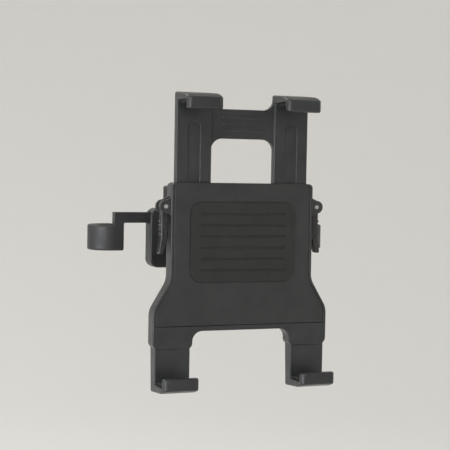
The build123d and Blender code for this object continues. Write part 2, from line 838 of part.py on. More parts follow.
# Hand knob of the tilt hinge, with a nut pressed in from the ear side
tilt_knob_shape = lobed_outline(tilt_knob_radius, tilt_knob_lobes)
with BuildPart() as tilt_knob:
    with BuildSketch(side_plane(knob_start)):
        with Locations((hinge_depth, 0)):
            Circle(tilt_knob_neck_radius)
    extrude(amount=tilt_knob_neck)
    with BuildSketch(side_plane(knob_head_start)):
        with Locations((hinge_depth, 0)):
            add(tilt_knob_shape)
    extrude(amount=tilt_knob_head)
    fillet(tilt_knob.faces().sort_by(Axis.X)[-1].edges(), radius=knob_round)
    with BuildSketch(side_plane(knob_end)):
        with Locations((hinge_depth, 0)):
            Circle(tilt_knob_radius / 2)
    extrude(amount=-knob_recess_depth, mode=Mode.SUBTRACT)
    with BuildSketch(side_plane(knob_start)):
        with Locations((hinge_depth, 0)):
            RegularPolygon(hex_flats / 2 + hex_play, 6, major_radius=False)
    extrude(amount=nut_height, mode=Mode.SUBTRACT)
    with BuildSketch(side_plane(knob_start)):
        with Locations((hinge_depth, 0)):
            Circle(bolt_diameter / 2 + bolt_play)
    extrude(amount=tilt_bolt_end - knob_start + fit_play, mode=Mode.SUBTRACT)
tilt_knob.part.label = "tilt_knob"
export_step(tilt_knob.part, "parts/tilt_knob.step")

with BuildPart() as tilt_nut:
    with BuildSketch(side_plane(knob_start)):
        with Locations((hinge_depth, 0)):
            RegularPolygon(hex_flats / 2, 6, major_radius=False)
            Circle(bolt_diameter / 2 + bolt_play, mode=Mode.SUBTRACT)
    extrude(amount=nut_height)
tilt_nut.part.label = "tilt_nut"
export_step(tilt_nut.part, "parts/tilt_nut.step")

# Front plate of the post clamp base, with the two hinge ears
with BuildPart() as base_front:
    with BuildSketch(front_plane(base_front_depth)):
        RectangleRounded(2 * base_half_length, 2 * base_half_height, base_corner_radius)
    extrude(amount=-base_plate)
    fillet(base_front.faces().sort_by(Axis.Y)[0].edges(), radius=base_edge_round)
    for start in (-ear_outer, ear_inner):
        with BuildSketch(side_plane(start)):
            with Locations((hinge_depth, 0)):
                Circle(ear_radius)
            with BuildLine():
                Polyline(
                    (hinge_depth, -ear_radius),
                    (base_front_depth + base_edge_round, -ear_root_half_height),
                    (base_front_depth + base_edge_round, ear_root_half_height),
                    (hinge_depth, ear_radius),
                    close=True,
                )
            make_face()
            with Locations((hinge_depth, 0)):
                Circle(bolt_diameter / 2 + bolt_play, mode=Mode.SUBTRACT)
        extrude(amount=ear_thickness)
    with BuildSketch(side_plane(-ear_outer)):
        with Locations((hinge_depth, 0)):
            RegularPolygon(hex_flats / 2 + hex_play, 6, major_radius=False)
    extrude(amount=bolt_head_sink, mode=Mode.SUBTRACT)
    with BuildSketch(front_plane(base_joint_depth)):
        with Locations(*[(x, 0) for x in base_screw_xs]):
            Circle(base_boss_diameter / 2)
            Circle(base_pilot_diameter / 2, mode=Mode.SUBTRACT)
    extrude(amount=base_joint_depth - base_cavity_back + fit_play)
base_front.part.label = "base_front"
export_step(base_front.part, "parts/base_front.step")

# Back tray of the base: a slot at each end for one arm, the pinion axle and the lock boss
arm_middle = (arm_front + arm_back) / 2
with BuildPart() as base_back:
    with BuildSketch(front_plane(base_joint_depth)):
        RectangleRounded(2 * base_half_length, 2 * base_half_height, base_corner_radius)
    extrude(amount=base_joint_depth - base_back_depth)
    fillet(base_back.faces().sort_by(Axis.Y)[-1].edges(), radius=base_edge_round)
    with BuildSketch(front_plane(base_joint_depth)):
        RectangleRounded(
            2 * (base_half_length - base_wall),
            2 * (base_half_height - base_wall),
            base_corner_radius - base_wall,
        )
    extrude(amount=base_joint_depth - base_cavity_back, mode=Mode.SUBTRACT)
    slot_inner = rack_root - arm_edge_play
    slot_outer = bar_outer + arm_edge_play
    for side in (-1, 1):
        with BuildSketch(side_plane(side * (base_half_length - 2 * base_wall))):
            with Locations((base_joint_depth, -side * (slot_inner + slot_outer) / 2)):
                Rectangle(
                    base_cavity_back - base_joint_depth,
                    slot_outer - slot_inner,
                    align=(Align.MIN, Align.CENTER),
                )
        extrude(amount=side * 3 * base_wall, mode=Mode.SUBTRACT)
    with BuildSketch(front_plane(base_joint_depth + fit_play)):
        Circle(pinion_axle_diameter / 2)
    extrude(amount=base_joint_depth + fit_play - base_cavity_back)
    with BuildSketch(Plane.XY.offset(base_half_height)):
        with Locations((arm_lock_x, arm_middle)):
            Circle(arm_lock_boss_radius)
    extrude(amount=arm_lock_boss_height)
    with BuildSketch(Plane.XY.offset(base_half_height - 2 * base_wall)):
        with Locations((arm_lock_x, arm_middle)):
            Circle(arm_lock_diameter / 2 + arm_lock_play)
    extrude(amount=3 * base_wall + arm_lock_boss_height, mode=Mode.SUBTRACT)
    with BuildSketch(front_plane(base_cavity_back)):
        with Locations(*[(x, 0) for x in base_screw_xs]):
            Circle(base_screw_hole / 2)
    extrude(amount=-base_back_wall, mode=Mode.SUBTRACT)
    with BuildSketch(front_plane(base_back_depth)):
        with Locations(*[(x, 0) for x in base_screw_xs]):
            Circle(base_screw_counterbore / 2)
    extrude(amount=base_screw_head_height, mode=Mode.SUBTRACT)
base_back.part.label = "base_back"
export_step(base_back.part, "parts/base_back.step")

# Four screws that close the base
with BuildPart() as base_screws:
    with BuildSketch(front_plane(base_back_depth)):
        with Locations(*[(x, 0) for x in base_screw_xs]):
            Circle(base_screw_head / 2)
    extrude(amount=base_screw_head_height)
    with BuildSketch(front_plane(base_back_depth - base_screw_head_height)):
        with Locations(*[(x, 0) for x in base_screw_xs]):
            Circle(base_pilot_diameter / 2)
    extrude(amount=base_back_depth - base_screw_head_height - base_joint_depth)
base_screws.part.label = "base_screws"
export_step(base_screws.part, "parts/base_screws.step")

# Pinion: involute teeth, one of them upright where it meets the upper rack
base_circle = pitch_radius * math.cos(math.radians(pressure_angle))
tip_circle = pitch_radius + tooth_addendum
root_circle = pitch_radius - tooth_dedendum
flank_radii = [base_circle + (tip_circle - base_circle) * step / 4 for step in range(5)]
with BuildSketch() as pinion_tooth:
    with BuildLine():
        lower = [
            (r * math.cos(tooth_half_angle(r)), -r * math.sin(tooth_half_angle(r)))
            for r in flank_radii
        ]
        upper = [(x, -y) for x, y in reversed(lower)]
        root_x = root_circle - tooth_addendum
        root_y = lower[0][1]
        Line((root_x, root_y), lower[0])
        Spline(*lower)
        RadiusArc(lower[-1], upper[0], -tip_circle)
        Spline(*upper)
        Line(upper[-1], (root_x, -root_y))
        Line((root_x, -root_y), (root_x, root_y))
    make_face()
with BuildPart() as arm_pinion:
    with BuildSketch(front_plane(arm_front + pinion_face_play)):
        Circle(root_circle)
        with PolarLocations(0, pinion_teeth):
            add(pinion_tooth.sketch)
        Circle(pinion_axle_diameter / 2 + pinion_play, mode=Mode.SUBTRACT)
    extrude(amount=2 * pinion_face_play - arm_thickness)
arm_pinion.part.label = "arm_pinion"
export_step(arm_pinion.part, "parts/arm_pinion.step")

# Hook arm as it lies on the left: toothed bar above the pinion, hook round the post
slope = math.tan(math.radians(pressure_angle))
tooth_half = (rack_pitch - tooth_backlash) / 4
tooth_half_at_root = tooth_half + tooth_dedendum * slope
tooth_half_at_tip = tooth_half - tooth_addendum * slope
with BuildSketch() as rack_tooth:
    with BuildLine():
        Polyline(
            (-tooth_half_at_root, rack_root),
            (-tooth_half_at_tip, rack_tip),
            (tooth_half_at_tip, rack_tip),
            (tooth_half_at_root, rack_root),
            close=True,
        )
    make_face()
with BuildPart() as hook_arm:
    with BuildSketch(front_plane(arm_front)):
        with BuildLine():
            FilletPolyline(
                (rack_bar_inner_end, rack_root),
                (rack_bar_inner_end, bar_outer),
                (-post_half_spacing, bar_outer),
                (-post_half_spacing, -hook_height / 2),
                (-hook_plate_inner, -hook_height / 2),
                (-hook_plate_inner, rack_root),
                radius=[0, hook_edge_round, 0, 0, hook_edge_round, hook_neck_radius],
                close=True,
            )
        make_face()
        with GridLocations(rack_pitch, 1, rack_teeth, 1):
            add(rack_tooth.sketch)
    extrude(amount=-arm_thickness)
    with BuildSketch(Plane.XY.offset(-hook_height / 2)):
        with Locations((-post_half_spacing, post_depth)):
            Circle(hook_outer_radius)
            Circle(hook_seat_radius, mode=Mode.SUBTRACT)
            Rectangle(
                2 * hook_outer_radius,
                2 * hook_outer_radius,
                align=(Align.MIN, Align.CENTER),
                mode=Mode.SUBTRACT,
            )
            with Locations((0, hook_seat_radius)):
                Rectangle(hook_finger, hook_thickness, align=(Align.MIN, Align.MIN))
    extrude(amount=hook_height)
    finger_tip = hook_arm.faces().filter_by(Axis.X).filter_by(
        lambda face: face.center().Y > post_depth and face.center().X > -post_half_spacing
    )
    fillet(finger_tip.edges().filter_by(Axis.Z), radius=hook_finger_round)
    hook_rims = hook_arm.edges().filter_by(GeomType.CIRCLE).filter_by(
        lambda edge: abs(edge.radius - hook_outer_radius) < fit_play
    )
    fillet(hook_rims, radius=hook_edge_round)
hook_arm.part.label = "hook_arm_left"
export_step(hook_arm.part, "parts/hook_arm_left.step")

# The right arm is the left one turned half round the pinion's axis
with BuildPart() as hook_arm_right:
    add(hook_arm.part, rotation=(0, 180, 0))
hook_arm_right.part.label = "hook_arm_right"
export_step(hook_arm_right.part, "parts/hook_arm_right.step")

# Rubber liners of the hooks
for side, hand in ((-1, "left"), (1, "right")):
    with BuildPart() as hook_liner:
        with BuildSketch(Plane.XY.offset(-hook_height / 2)):
            with Locations((side * post_half_spacing, post_depth)):
                Circle(hook_seat_radius - hook_liner_play)
                with Locations((-side * hook_liner_flank / 2, 0)):
                    Rectangle(hook_liner_flank, 2 * (hook_seat_radius - hook_liner_play))
                Circle(post_diameter / 2, mode=Mode.SUBTRACT)
                with Locations((-side * hook_outer_radius / 2, 0)):
                    Rectangle(hook_outer_radius, post_diameter, mode=Mode.SUBTRACT)
                with Locations((-side * (hook_liner_flank + hook_outer_radius / 2), 0)):
                    Rectangle(hook_outer_radius, 3 * hook_outer_radius, mode=Mode.SUBTRACT)
        extrude(amount=hook_height)
    hook_liner.part.label = f"hook_liner_{hand}"
    export_step(hook_liner.part, f"parts/hook_liner_{hand}.step")

# Screw that presses on the upper bar, and its hand knob
lock_tip = bar_outer + arm_lock_gap
lock_knob_bottom = base_half_height + arm_lock_boss_height + arm_lock_knob_gap
with BuildPart() as arm_lock_screw:
    with BuildSketch(Plane.XY.offset(lock_tip)):
        with Locations((arm_lock_x, arm_middle)):
            Circle(arm_lock_diameter / 2)
    extrude(amount=lock_knob_bottom + arm_lock_sunk - lock_tip)
arm_lock_screw.part.label = "arm_lock_screw"
export_step(arm_lock_screw.part, "parts/arm_lock_screw.step")

lock_knob_shape = lobed_outline(arm_lock_knob_radius, arm_lock_knob_lobes)
with BuildPart() as arm_lock_knob:
    with BuildSketch(Plane.XY.offset(lock_knob_bottom)):
        with Locations((arm_lock_x, arm_middle)):
            add(lock_knob_shape)
    extrude(amount=arm_lock_knob_height)
    fillet(arm_lock_knob.faces().sort_by(Axis.Z)[-1].edges(), radius=knob_round)
    with BuildSketch(Plane.XY.offset(lock_knob_bottom + arm_lock_knob_height)):
        with Locations((arm_lock_x, arm_middle)):
            Circle(arm_lock_knob_radius / 2)
    extrude(amount=-knob_recess_depth, mode=Mode.SUBTRACT)
    with BuildSketch(Plane.XY.offset(lock_knob_bottom)):
        with Locations((arm_lock_x, arm_middle)):
            Circle(arm_lock_diameter / 2)
    extrude(amount=arm_lock_sunk, mode=Mode.SUBTRACT)
arm_lock_knob.part.label = "arm_lock_knob"
export_step(arm_lock_knob.part, "parts/arm_lock_knob.step")
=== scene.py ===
# %% [markdown]
# # A headrest tablet mount, dressed in Blender
# The mount is a cradle with four hooked claws. It turns and tilts on a head behind it, and two
# rubber-lined hooks at the back clamp it to a pair of upright posts. Nearly every shape comes
# from the CAD model, so this lesson spends its time on what CAD leaves plain: the moulded
# texture, the rubber, the plated fasteners and the light. Lengths are metres, +Z is up, and the
# front face of the bed pad lies on the plane y = 0.

# %% Load the frame
import math

import bmesh
import bpy
from mathutils import Matrix, Quaternion, Vector


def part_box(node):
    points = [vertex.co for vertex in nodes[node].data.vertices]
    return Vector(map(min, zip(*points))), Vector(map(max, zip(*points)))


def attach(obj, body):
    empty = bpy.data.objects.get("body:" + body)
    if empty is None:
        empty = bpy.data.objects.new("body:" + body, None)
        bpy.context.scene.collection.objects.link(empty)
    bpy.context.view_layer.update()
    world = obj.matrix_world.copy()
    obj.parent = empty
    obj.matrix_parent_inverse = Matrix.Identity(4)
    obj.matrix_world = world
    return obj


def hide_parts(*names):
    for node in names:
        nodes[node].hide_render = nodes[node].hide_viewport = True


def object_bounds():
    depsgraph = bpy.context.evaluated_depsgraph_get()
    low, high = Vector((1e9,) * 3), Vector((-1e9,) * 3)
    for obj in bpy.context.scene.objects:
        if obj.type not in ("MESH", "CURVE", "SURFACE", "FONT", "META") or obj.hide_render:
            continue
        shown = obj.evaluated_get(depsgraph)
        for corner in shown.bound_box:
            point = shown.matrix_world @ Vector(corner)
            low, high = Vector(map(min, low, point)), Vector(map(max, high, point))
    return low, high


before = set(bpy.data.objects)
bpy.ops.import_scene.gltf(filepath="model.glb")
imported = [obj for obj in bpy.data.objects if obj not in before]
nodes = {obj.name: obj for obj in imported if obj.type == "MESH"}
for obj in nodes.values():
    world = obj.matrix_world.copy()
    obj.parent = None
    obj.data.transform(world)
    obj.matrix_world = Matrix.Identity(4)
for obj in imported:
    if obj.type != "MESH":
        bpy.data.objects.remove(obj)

cad_box = [list(corner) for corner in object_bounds()]
scene = bpy.context.scene


# %% [markdown]
# ## Where the photographer stood
# A camera can be placed by hand until the picture looks right, or worked out from points that
# can be recognised in the picture. The corners of the four claws are such points: their places
# are known from the CAD, so the view that lines them all up is the photographer's. It is a
# little to the left of the mount and a little above its middle, with a long lens. The camera is
# rolled by about one degree, as hand-held pictures are.

# %% Camera
VIEW_AZIMUTH, VIEW_ELEVATION, VIEW_ROLL = (math.radians(a) for a in (-21.4, 2.6, 1.0))
VIEW_DISTANCE = 0.850
AIM_RIGHT, AIM_UP = -0.0126, 0.0117
LENS_MM, SENSOR_MM = 100.0, 36.0
NEAREST, FARTHEST = 0.05, 20.0

toward_camera = Vector((
    math.sin(VIEW_AZIMUTH) * math.cos(VIEW_ELEVATION),
    -math.cos(VIEW_AZIMUTH) * math.cos(VIEW_ELEVATION),
    math.sin(VIEW_ELEVATION),
))
turn = (-toward_camera).to_track_quat("-Z", "Y") @ Quaternion((0, 0, 1), VIEW_ROLL)
camera = bpy.data.objects.new("photo_camera", bpy.data.cameras.new("photo_camera"))
camera.data.lens, camera.data.sensor_width = LENS_MM, SENSOR_MM
camera.data.clip_start, camera.data.clip_end = NEAREST, FARTHEST
camera.rotation_mode = "QUATERNION"
camera.rotation_quaternion = turn
camera.location = turn @ Vector((AIM_RIGHT, AIM_UP, 0)) + VIEW_DISTANCE * toward_camera
scene.collection.objects.link(camera)
scene.camera = camera
print("camera at", [round(value, 3) for value in camera.location])

# %% [markdown]
# ## Turned shapes
# A screw head, a bolt shank and even the studio backdrop are turned shapes: one profile swept
# round an axis. Blender has a Screw modifier and a spin operator for this. A short loop that
# lays one ring of vertices for each profile point and joins neighbouring rings is as short, and
# it closes the ends on the axis without doubled vertices.

# %% From mesh to object
def add_piece(name, mesh):
    """Puts a bmesh into the scene as an object."""
    data = bpy.data.meshes.new(name)
    mesh.to_mesh(data)
    mesh.free()
    piece = bpy.data.objects.new(name, data)
    scene.collection.objects.link(piece)
    return piece


print("pieces go into", scene.collection.name)


# %% Turned shapes
def turned(profile, steps, axis="Y"):
    """Sweeps (radius, height) points round an axis. A radius of 0 closes the shape."""
    mesh = bmesh.new()
    rings = []
    for radius, height in profile:
        angles = [math.tau * step / steps for step in range(steps)] if radius else [0.0]
        spots = [(radius * math.cos(a), radius * math.sin(a)) for a in angles]
        if axis == "Y":
            rings.append([mesh.verts.new((u, height, -v)) for u, v in spots])
        else:
            rings.append([mesh.verts.new((u, v, height)) for u, v in spots])
    for low, high in zip(rings, rings[1:]):
        for step in range(steps):
            after = (step + 1) % steps
            corners = [low[step % len(low)], low[after % len(low)],
                       high[after % len(high)], high[step % len(high)]]
            mesh.faces.new(list(dict.fromkeys(corners)))
    return mesh


print("turned shapes ready")

# %% [markdown]
# ## A floor that becomes the backdrop
# A flat plane would leave a horizon line behind the mount. Studios use a sheet of paper that
# curves up at the back. Here the sheet curves up all round, like a dish, so that it also works
# when the camera walks round to the back. Its paper is pale and warm, and without any gloss.
# In use the mount hangs on its posts and touches nothing below. It hangs here too, a forearm's
# length above the paper, so the lower claws have room when the cradle tilts.

# %% Floor
HANGING_ROOM = 0.28
FLOOR_LEVEL = cad_box[0][2] - HANGING_ROOM
FLAT_RADIUS, BEND_RADIUS, DISH_HEIGHT = 1.3, 1.1, 2.2
BEND_STEPS, DISH_STEPS = 15, 96

bend = [math.radians(90 / BEND_STEPS * step) for step in range(BEND_STEPS + 1)]
dish_profile = [(0, 0), (FLAT_RADIUS / 2, 0)]
dish_profile += [(FLAT_RADIUS + BEND_RADIUS * math.sin(a), BEND_RADIUS * (1 - math.cos(a)))
                 for a in bend]
dish_profile.append((FLAT_RADIUS + BEND_RADIUS, DISH_HEIGHT))
floor = add_piece("studio_floor", turned(dish_profile[::-1], DISH_STEPS, "Z"))
floor.location.z = FLOOR_LEVEL
floor.data.shade_smooth()
print("floor at", round(1000 * FLOOR_LEVEL, 1), "mm,", len(floor.data.polygons), "faces")

# %% Paper
PAPER_COLOUR, PAPER_ROUGHNESS = (0.88, 0.87, 0.845, 1), 0.9


def new_material(name):
    """A material with nodes, which holds a Principled BSDF from the start."""
    material = bpy.data.materials.new(name)
    material.use_nodes = True
    return material


def shader_inputs(material):
    """The sockets of a material's Principled BSDF."""
    return material.node_tree.nodes["Principled BSDF"].inputs


paper = new_material("studio_paper")
shader_inputs(paper)["Base Color"].default_value = PAPER_COLOUR
shader_inputs(paper)["Roughness"].default_value = PAPER_ROUGHNESS
floor.data.materials.append(paper)
print("paper:", paper.name)

# %% [markdown]
# ## Soft light on a dark object
# Dark plastic shows its shape by what it reflects, not by its own colour, so it wants large
# lamps whose edges fade slowly over the rounded corners. The wide, slightly blue one on the
# left stands on the floor, so that the upright corners of the claws mirror it as a pale line,
# as they do in the photograph. It ends a little above the mount, because the tops of the claws
# would mirror a taller one as a white patch when they are seen from behind. The other lamps
# keep the far sides from going black. The one behind stands high and to the left, where the
# sloping crowns of the claws do not mirror it into the camera. The levels were set with a grey
# card in place of the mount: a card of 0.18 renders as about 0.19.

# %% Lamps
def soft_lamp(name, place, width, height, watts, colour):
    """A large lamp that faces the mount."""
    lamp = bpy.data.lights.new(name, "AREA")
    lamp.shape, lamp.size, lamp.size_y = "RECTANGLE", width, height
    lamp.energy, lamp.color = watts, colour
    stand = bpy.data.objects.new(name, lamp)
    stand.location = place
    stand.rotation_mode = "QUATERNION"
    stand.rotation_quaternion = (-Vector(place)).to_track_quat("-Z", "Y")
    scene.collection.objects.link(stand)
    return stand


low_lamp = soft_lamp("low_lamp", (-1.3, -0.7, -0.10), 1.4, 0.56, 15.5, (0.91, 0.95, 1.0))
lamps = [
    low_lamp,
    soft_lamp("high_lamp", (-0.55, -1.15, 1.15), 0.8, 0.8, 8.0, (1.0, 0.99, 0.97)),
    soft_lamp("right_lamp", (1.25, -0.35, 0.9), 0.9, 0.9, 4.5, (1.0, 0.98, 0.95)),
    soft_lamp("back_lamp", (-0.85, 1.15, 1.45), 0.9, 0.9, 15.0, (1.0, 1.0, 1.0)),
]
print(len(lamps), "lamps,", sum(lamp.data.energy for lamp in lamps), "W in all")

# %% [markdown]
# ## A shaded floor and an even sky
# So close to the floor, the low lamp would burn the paper out to white. A studio would set up a
# dark board between them. Light linking does the same without a board: the floor goes into the
# lamp's own collection of receivers and is marked there as an exception. A plain, dim sky fills
# what the lamps leave dark, and the Standard view shows colours as they are written.

# %% Shade and sky
SKY_COLOUR, SKY_STRENGTH = (1.0, 0.995, 0.985, 1), 0.4

shaded = bpy.data.collections.new("shaded_from_low_lamp")
shaded.objects.link(floor)
low_lamp.light_linking.receiver_collection = shaded
shaded.collection_objects[0].light_linking.link_state = "EXCLUDE"
sky = bpy.data.worlds.new("studio_sky")
scene.world = sky
sky.use_nodes = True
sky_light = sky.node_tree.nodes["Background"]
sky_light.inputs["Color"].default_value = SKY_COLOUR
sky_light.inputs["Strength"].default_value = SKY_STRENGTH
scene.view_settings.view_transform = "Standard"

# %% [markdown]
# ## Small helpers for shader nodes
# A material in Blender is a tree of nodes. Made by hand it is drawn; made in code it is
# listed. A few helpers keep that list short: one makes a node and sets its values, one joins
# two sockets, two do sums and ranges, and one starts a node group, which is a piece of tree
# with its own inputs and outputs that many materials can share.

# %% Make and join nodes
def put(tree, kind, values=None, **settings):
    """Adds a node, sets its options and the values of its inputs."""
    made = tree.nodes.new(kind)
    for option, value in settings.items():
        setattr(made, option, value)
    for socket, value in (values or {}).items():
        made.inputs[socket].default_value = value
    return made


def join(tree, source, target):
    """Draws the link from an output socket to an input socket."""
    tree.links.new(source, target)


print("nodes can be made and joined")


# %% Sums and ranges
def arithmetic(tree, operation, first, second):
    """A Math node on two sockets or numbers; gives its output socket."""
    made = put(tree, "ShaderNodeMath", operation=operation)
    for index, term in enumerate((first, second)):
        if isinstance(term, (int, float)):
            made.inputs[index].default_value = term
        else:
            join(tree, term, made.inputs[index])
    return made.outputs[0]


def stretch(tree, source, low, high, to_low=0.0, to_high=1.0):
    """A smooth Map Range from low..high to to_low..to_high; gives its output socket."""
    limits = {"From Min": low, "From Max": high, "To Min": to_low, "To Max": to_high}
    made = put(tree, "ShaderNodeMapRange", limits, interpolation_type="SMOOTHSTEP")
    join(tree, source, made.inputs["Value"])
    return made.outputs["Result"]


print("sums and ranges ready")


# %% Start a group
def start_group(name, inputs, outputs):
    """An empty node group with float inputs, and outputs given as (name, socket type)."""
    group = bpy.data.node_groups.new(name, "ShaderNodeTree")
    for label, value in inputs:
        socket = group.interface.new_socket(
            name=label, in_out="INPUT", socket_type="NodeSocketFloat")
        socket.default_value = value
    for label, kind in outputs:
        group.interface.new_socket(name=label, in_out="OUTPUT", socket_type=kind)
    return group, group.nodes.new("NodeGroupInput"), group.nodes.new("NodeGroupOutput")


print("groups can be started")

# %% [markdown]
# ## The skin of a moulded part
# The inside of a plastics mould is roughened by spark erosion, and the part copies it: a fine
# pebbled skin a quarter of a millimetre across, which turns gloss into satin. An image of such
# a skin would have to be unwrapped onto every face. Noise in the object's own coordinates needs
# no unwrapping and has the same size everywhere. The group also gives out a slow mottling, since
# no moulding has the same shade all over.

# %% Group: mould skin
PITS_PER_PEBBLE = 0.45
PEBBLE_SHARE, PIT_SHARE = 0.7, 0.3
CLOUDS = {"Scale": 75.0, "Detail": 5.0, "Roughness": 0.6, "Distortion": 0.4}
CLOUD_RANGE = (0.3, 0.7)

skin, skin_in, skin_out = start_group(
    "mould_skin",
    [("Pebbles per metre", 3600.0)],
    [("Height", "NodeSocketFloat"), ("Mottle", "NodeSocketFloat")],
)
skin_place = put(skin, "ShaderNodeTexCoord").outputs["Object"]
pebbles = put(skin, "ShaderNodeTexNoise", {"Detail": 2.0, "Roughness": 0.6})
pits = put(skin, "ShaderNodeTexVoronoi", {"Randomness": 1.0})
clouds = put(skin, "ShaderNodeTexNoise", CLOUDS)
for texture in (pebbles, pits, clouds):
    join(skin, skin_place, texture.inputs["Vector"])
fineness = skin_in.outputs["Pebbles per metre"]
join(skin, fineness, pebbles.inputs["Scale"])
join(skin, arithmetic(skin, "MULTIPLY", fineness, PITS_PER_PEBBLE), pits.inputs["Scale"])
relief = arithmetic(skin, "ADD",
                    arithmetic(skin, "MULTIPLY", pebbles.outputs["Fac"], PEBBLE_SHARE),
                    arithmetic(skin, "MULTIPLY", pits.outputs["Distance"], PIT_SHARE))
join(skin, relief, skin_out.inputs["Height"])
join(skin, stretch(skin, clouds.outputs["Fac"], *CLOUD_RANGE), skin_out.inputs["Mottle"])
print("mould_skin has", len(skin.nodes), "nodes")

# %% [markdown]
# ## Edges: a small radius and a little wear
# No moulded edge is perfectly sharp, and handling polishes it further. The Bevel node looks a
# short way round each point and returns the normal that a small radius would have. Used as the
# surface normal it draws the thin highlight of that radius. Compared with the flat normal it
# tells where the edges are, and a noise breaks that line up into worn spots.

# %% Group: eased edges
BEVEL_SAMPLES = 6
EDGE_RANGE = (0.99, 0.86)
WORN_RANGE = (0.40, 0.66)

edges, edges_in, edges_out = start_group(
    "eased_edges",
    [("Radius", 0.0005), ("Worn spots per metre", 260.0)],
    [("Normal", "NodeSocketVector"), ("Wear", "NodeSocketFloat")],
)
eased = put(edges, "ShaderNodeBevel", samples=BEVEL_SAMPLES)
join(edges, edges_in.outputs["Radius"], eased.inputs["Radius"])
flat_normal = put(edges, "ShaderNodeNewGeometry").outputs["Normal"]
likeness = put(edges, "ShaderNodeVectorMath", operation="DOT_PRODUCT")
join(edges, eased.outputs["Normal"], likeness.inputs[0])
join(edges, flat_normal, likeness.inputs[1])
spots = put(edges, "ShaderNodeTexNoise", {"Detail": 3.0, "Roughness": 0.65})
join(edges, put(edges, "ShaderNodeTexCoord").outputs["Object"], spots.inputs["Vector"])
join(edges, edges_in.outputs["Worn spots per metre"], spots.inputs["Scale"])
on_edge = stretch(edges, likeness.outputs["Value"], *EDGE_RANGE)
worn = arithmetic(edges, "MULTIPLY", on_edge, stretch(edges, spots.outputs["Fac"], *WORN_RANGE))
join(edges, worn, edges_out.inputs["Wear"])
join(edges, eased.outputs["Normal"], edges_out.inputs["Normal"])
print("eased_edges has", len(edges.nodes), "nodes")

# %% [markdown]
# ## Hands and dust
# Two more things separate a used mount from a drawing of one. Hands leave broad smears that
# change the gloss and leave a thin film. Dust settles on faces that look up. The smear is slow,
# distorted noise; the dust is the upward part of the normal times a fine speckle. Both are
# masks, so each material decides what to do with them.

# %% Group: use marks
SMEAR_RANGE = (0.35, 0.68)
SPECKLE_RANGE = (0.48, 0.72)
UPWARD_RANGE, DUST_RANGE = (0.2, 1.0), (0.12, 1.0)

use, use_in, use_out = start_group(
    "use_marks",
    [("Smears per metre", 28.0), ("Speckles per metre", 1400.0)],
    [("Smear", "NodeSocketFloat"), ("Dust", "NodeSocketFloat")],
)
use_place = put(use, "ShaderNodeTexCoord")
smears = put(use, "ShaderNodeTexNoise", {"Detail": 4.0, "Roughness": 0.55, "Distortion": 1.6})
speckles = put(use, "ShaderNodeTexNoise", {"Detail": 2.0, "Roughness": 0.7})
for texture, rate in ((smears, "Smears per metre"), (speckles, "Speckles per metre")):
    join(use, use_place.outputs["Object"], texture.inputs["Vector"])
    join(use, use_in.outputs[rate], texture.inputs["Scale"])
facing = put(use, "ShaderNodeSeparateXYZ")
join(use, use_place.outputs["Normal"], facing.inputs["Vector"])
upward = stretch(use, facing.outputs["Z"], *UPWARD_RANGE, *DUST_RANGE)
speckle = stretch(use, speckles.outputs["Fac"], *SPECKLE_RANGE)
join(use, stretch(use, smears.outputs["Fac"], *SMEAR_RANGE), use_out.inputs["Smear"])
join(use, arithmetic(use, "MULTIPLY", upward, speckle), use_out.inputs["Dust"])
print("use_marks has", len(use.nodes), "nodes")

# %% [markdown]
# ## One recipe for plastic, rubber and steel
# All finishes here share a build-up: a body colour that mottles between two shades, a film
# where hands smeared it, a worn colour on the edges, dust on top, a roughness that follows the
# smears, and the skin as bump over the eased normal. One function lays that out, and each finish
# passes its own shades and depths. Whatever is the same all over the surface is set on the
# shader itself.

# %% Mix colours and place groups
MIX_FACTOR, MIX_FIRST, MIX_SECOND, MIX_COLOUR = 0, 6, 7, 2


def mixed(tree, factor, first, second):
    """Mixes two colours, given as sockets or numbers, by a mask; gives the colour socket."""
    made = put(tree, "ShaderNodeMix", data_type="RGBA")
    join(tree, factor, made.inputs[MIX_FACTOR])
    for index, colour in ((MIX_FIRST, first), (MIX_SECOND, second)):
        if isinstance(colour, tuple):
            made.inputs[index].default_value = (*colour, 1.0)
        else:
            join(tree, colour, made.inputs[index])
    return made.outputs[MIX_COLOUR]


def place_group(tree, group, **values):
    """Puts a node group into a material and gives its outputs. Underscores stand for spaces."""
    made = put(tree, "ShaderNodeGroup", node_tree=group)
    for label, value in values.items():
        made.inputs[label.replace("_", " ")].default_value = value
    return made.outputs


print("colours can be mixed and groups placed")

# %% The recipe
DUST = (0.36, 0.34, 0.30)
POLISH = 0.08
BUMP_STRENGTH = 0.6


def finish(name, shades, worn_to, film, film_share, gloss, pebble_rate, relief_depth, edge_radius,
           wear, dusty):
    """A finish: its shades, worn shade, film, roughness range, skin, edges, wear and dust."""
    material = new_material(name)
    tree, shader = material.node_tree, shader_inputs(material)
    skin_of = place_group(tree, skin, Pebbles_per_metre=pebble_rate)
    edge_of = place_group(tree, edges, Radius=edge_radius)
    use_of = place_group(tree, use)
    colour = mixed(tree, skin_of["Mottle"], *shades)
    layers = ((use_of["Smear"], film_share, film), (edge_of["Wear"], wear, worn_to),
              (use_of["Dust"], dusty, DUST))
    for mask, share, shade in layers:
        colour = mixed(tree, arithmetic(tree, "MULTIPLY", mask, share), colour, shade)
    join(tree, colour, shader["Base Color"])
    rough = stretch(tree, use_of["Smear"], 0.0, 1.0, *gloss)
    polished = arithmetic(tree, "MULTIPLY", edge_of["Wear"], POLISH)
    join(tree, arithmetic(tree, "SUBTRACT", rough, polished), shader["Roughness"])
    bump = put(tree, "ShaderNodeBump", {"Strength": BUMP_STRENGTH, "Distance": relief_depth})
    join(tree, skin_of["Height"], bump.inputs["Height"])
    join(tree, edge_of["Normal"], bump.inputs["Normal"])
    join(tree, bump.outputs["Normal"], shader["Normal"])
    return material


print("recipe ready")

